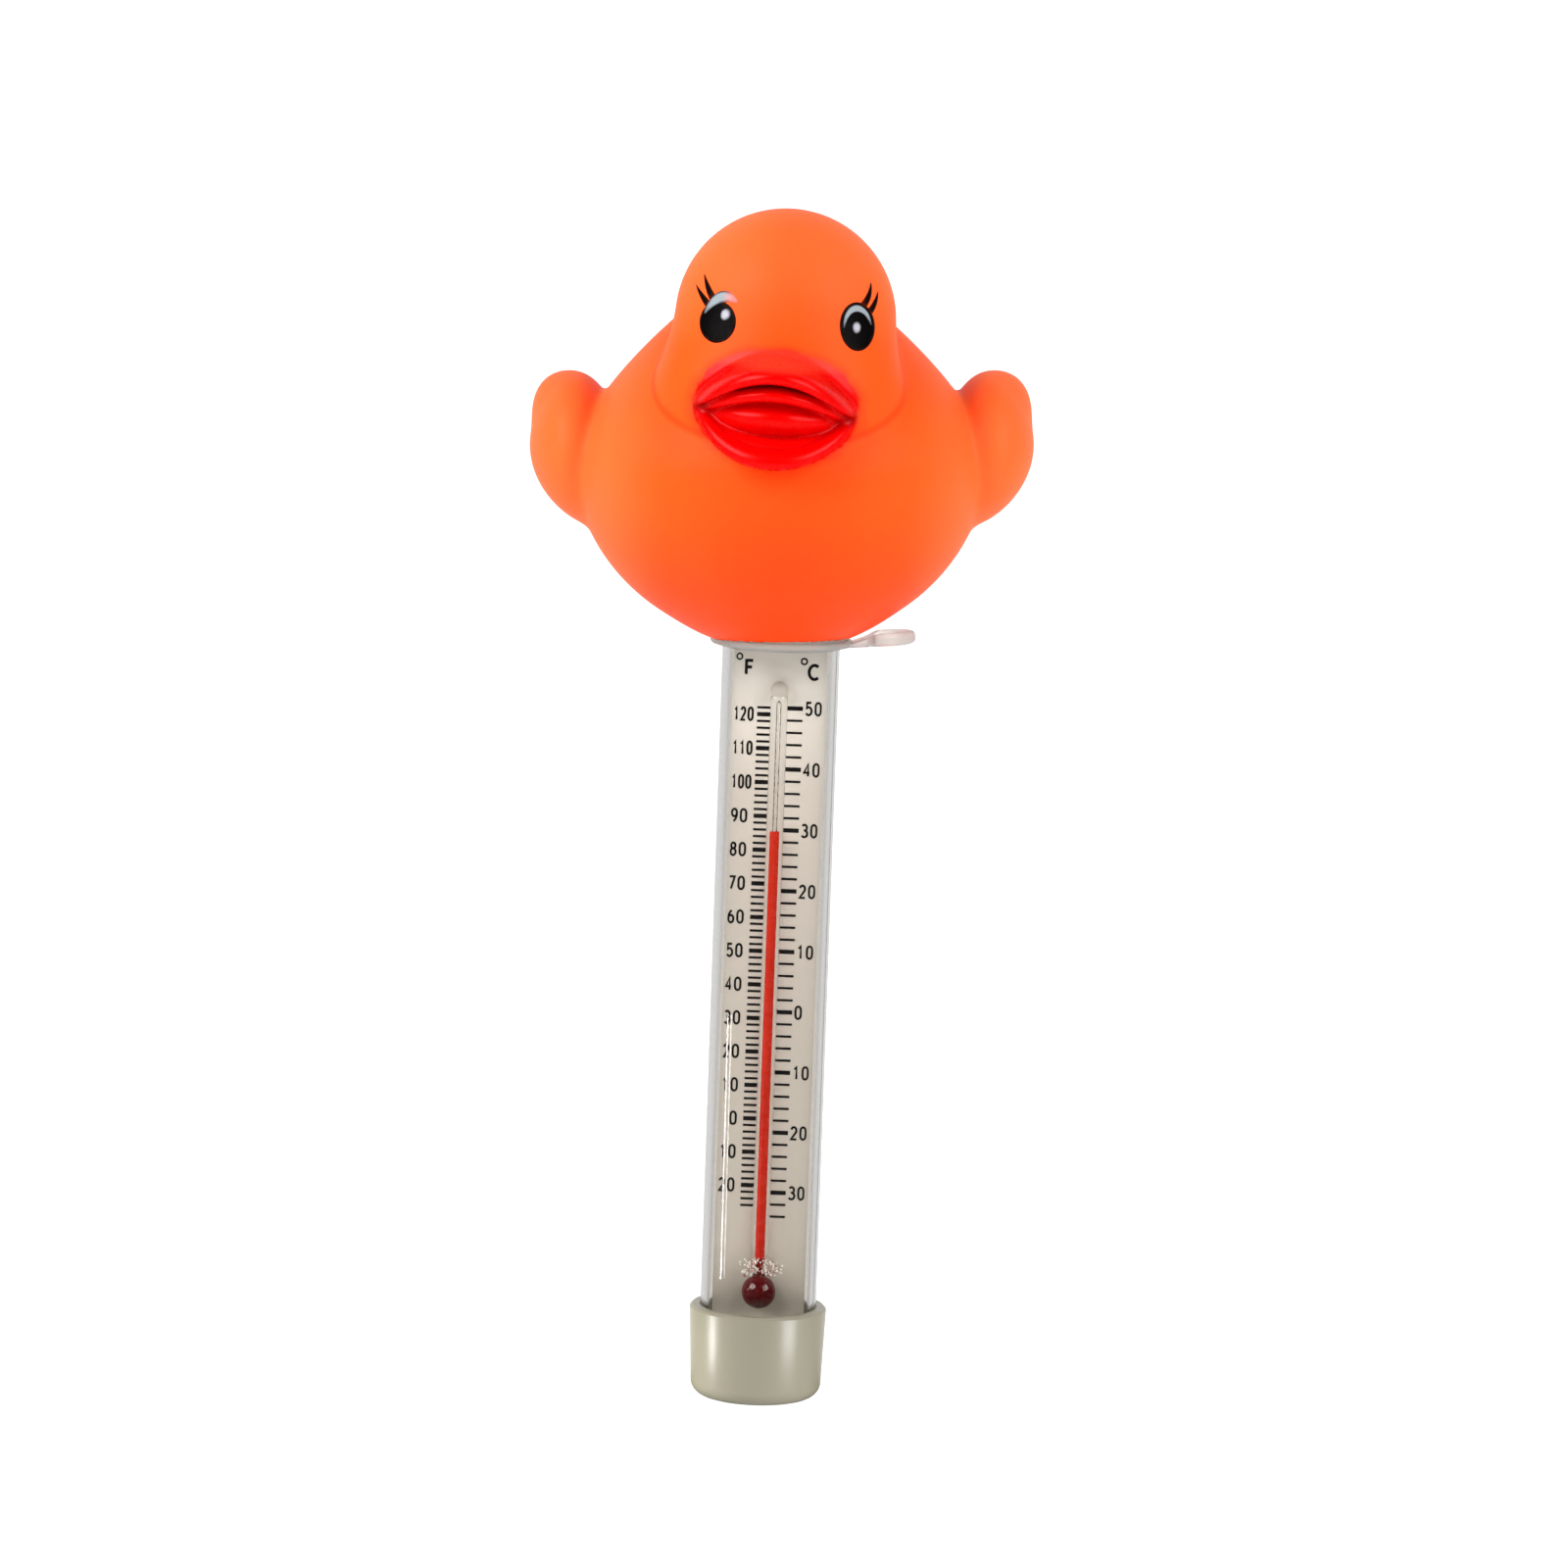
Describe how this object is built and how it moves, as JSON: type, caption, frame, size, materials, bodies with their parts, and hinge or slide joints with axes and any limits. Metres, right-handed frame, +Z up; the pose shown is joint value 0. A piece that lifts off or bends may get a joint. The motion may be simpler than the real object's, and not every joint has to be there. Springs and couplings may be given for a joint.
{
  "type": "floating pool thermometer",
  "caption": "Duck-topped floating pool thermometer: a hollow duck float on a clear tube with a spirit thermometer, a dual scale card and a weighted foot.",
  "frame": {"origin": "centre of the flat foot under the bottom cap, on the tube's axis", "axes": "+Z up along the tube's axis, +X towards the tether eyelet, the duck looks along -Y"},
  "size_m": [0.0819, 0.0841, 0.1949],
  "materials": {
    "duck_vinyl": "satin, slightly translucent soft vinyl",
    "bill_paint": "glossy red paint on the bill",
    "eye_black": "black paint of the eyes and lashes",
    "eye_white": "white and grey paint of the eyes",
    "scale_ink": "black print on the scale card",
    "milky_plastic": "milky translucent plastic",
    "seal_rubber": "black seal rubber",
    "clear_tube": "clear polished plastic",
    "scale_card": "off-white coated card",
    "capillary_glass": "clear drawn glass",
    "red_spirit": "red dyed spirit",
    "dark_spirit": "deep red dyed spirit",
    "white_glue": "whitish dried glue",
    "clear_glue": "clear glue with small bubbles",
    "holder_plastic": "plain moulded plastic",
    "ballast_steel": "plain steel balls",
    "cap_plastic": "glossy grey-beige moulded plastic"
  },
  "bodies": {
    "root": {"duck_shell": "duck_vinyl", "belly_bond": "clear_glue", "top_cap": "milky_plastic", "top_seal": "seal_rubber", "tube": "clear_tube", "scale_card": "scale_card", "capillary_glass": "capillary_glass", "spirit_bulb": "dark_spirit", "glue_top": "white_glue", "glue_bottom": "clear_glue", "card_holder": "holder_plastic", "ballast_balls": "ballast_steel", "bottom_plug": "holder_plastic", "bottom_seal": "seal_rubber", "bottom_cap": "cap_plastic"},
    "spirit": {"spirit_column": "red_spirit"}
  },
  "joints": [
    {"name": "spirit_level", "type": "slide", "parent": "root", "child": "spirit", "axis": [0, 0, 1], "range_m": [-0.06, 0.02], "deforming": ["spirit_column"]}
  ]
}
